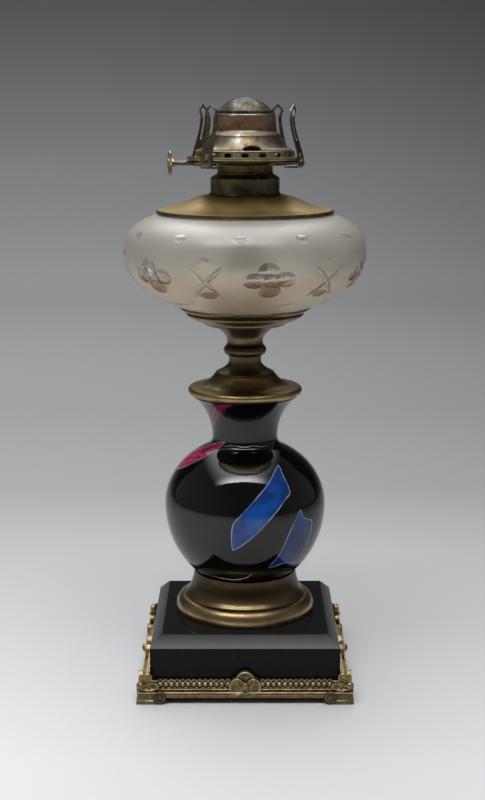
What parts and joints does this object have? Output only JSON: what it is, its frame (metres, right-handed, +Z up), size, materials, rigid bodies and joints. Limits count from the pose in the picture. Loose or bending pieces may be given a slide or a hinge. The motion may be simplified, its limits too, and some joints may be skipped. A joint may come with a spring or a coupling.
{
  "type": "glass table lamp",
  "caption": "Oil table lamp: a square glass plinth in a footed brass frame, a black vase body, a frosted cut font and a flat-wick burner with a wick wheel.",
  "frame": {"origin": "on the lamp's axis, on the surface that it stands on", "axes": "+Z up the lamp's axis, -Y towards the front, the wick wheel towards -X"},
  "size_m": [0.1608, 0.1608, 0.3895],
  "materials": {
    "gilt_brass": "worn gilding over cast brass, dark in the hollows",
    "dark_iron": "dark lacquer",
    "black_glass": "polished, opaque black",
    "spun_brass": "spun, olive brown patina",
    "dark_brass": "dark bronze patina",
    "burner_brass": "stamped sheet, lightly tarnished",
    "heat_brass": "heat-tinted copper brown",
    "grey_brass": "grey, pitted by heat",
    "plain_steel": "plain, dulled",
    "plaster": "matte, chalky",
    "frosted_glass": "frosted, with clear cut motifs",
    "cotton_wick": "woven cotton"
  },
  "bodies": {
    "lamp": {"base_frame": "gilt_brass", "base_plate": "dark_iron", "plinth": "black_glass", "foot_ring": "spun_brass", "vase": "black_glass", "vase_cap": "spun_brass", "stem_lower": "dark_brass", "stem_bead": "dark_brass", "stem_upper": "dark_brass", "stem_dish": "spun_brass", "font_cup": "spun_brass", "tie_rod": "plain_steel", "lower_nut": "plain_steel", "lower_washer": "plain_steel", "upper_nut": "plain_steel", "cup_plaster": "plaster", "font": "frosted_glass", "neck_plaster": "plaster", "shoulder_cap": "spun_brass", "collar": "dark_brass"},
    "burner": {"burner_body": "dark_brass", "gallery_plate": "burner_brass", "draft_plate": "burner_brass", "air_band": "burner_brass", "top_flange": "burner_brass", "wick_tube": "burner_brass", "shaft_sleeves": "dark_brass"},
    "winder": {"wick_shaft": "burner_brass", "sprocket_wheels": "burner_brass", "thumb_wheel": "burner_brass"},
    "wick": {"wick": "cotton_wick"},
    "deflector": {"deflector_bell": "heat_brass", "deflector_dome": "grey_brass"},
    "prong_front_left": {"prong_front_left": "burner_brass"},
    "prong_front_right": {"prong_front_right": "burner_brass"},
    "prong_back_right": {"prong_back_right": "burner_brass"},
    "prong_back_left": {"prong_back_left": "burner_brass"}
  },
  "joints": [
    {"name": "burner_lift", "type": "slide", "parent": "lamp", "child": "burner", "axis": [0, 0, 1], "range_m": [0, 0.09]},
    {"name": "wheel_turn", "type": "hinge", "parent": "burner", "child": "winder", "pos_m": [-0.00073, 0.0052, 0.34741], "axis": [0.9903, 0.1392, 0], "range_deg": [-117, 176]},
    {"name": "wick_raise", "type": "slide", "parent": "burner", "child": "wick", "axis": [0, 0, 1], "range_m": [-0.012, 0.008]},
    {"name": "deflector_lift", "type": "slide", "parent": "burner", "child": "deflector", "axis": [0, 0, 1], "range_m": [0, 0.045]},
    {"name": "prong_front_left_spring", "type": "hinge", "parent": "burner", "child": "prong_front_left", "pos_m": [-0.02494, -0.02972, 0.35041], "axis": [0.766, -0.6428, 0], "range_deg": [-1, 14], "stiffness_Nm_per_rad": 0.4},
    {"name": "prong_front_right_spring", "type": "hinge", "parent": "burner", "child": "prong_front_right", "pos_m": [0.03598, -0.01453, 0.35041], "axis": [0.3746, 0.9272, 0], "range_deg": [-1, 14], "stiffness_Nm_per_rad": 0.4},
    {"name": "prong_back_right_spring", "type": "hinge", "parent": "burner", "child": "prong_back_right", "pos_m": [0.02545, 0.02928, 0.35041], "axis": [-0.7547, 0.6561, 0], "range_deg": [-1, 14], "stiffness_Nm_per_rad": 0.4},
    {"name": "prong_back_left_spring", "type": "hinge", "parent": "burner", "child": "prong_back_left", "pos_m": [-0.03254, 0.02113, 0.35041], "axis": [-0.5446, -0.8387, 0], "range_deg": [-1, 14], "stiffness_Nm_per_rad": 0.4}
  ],
  "couplings": [
    {"joint": "wick_raise", "follows": "wheel_turn", "m_per_rad": -0.0039}
  ]
}
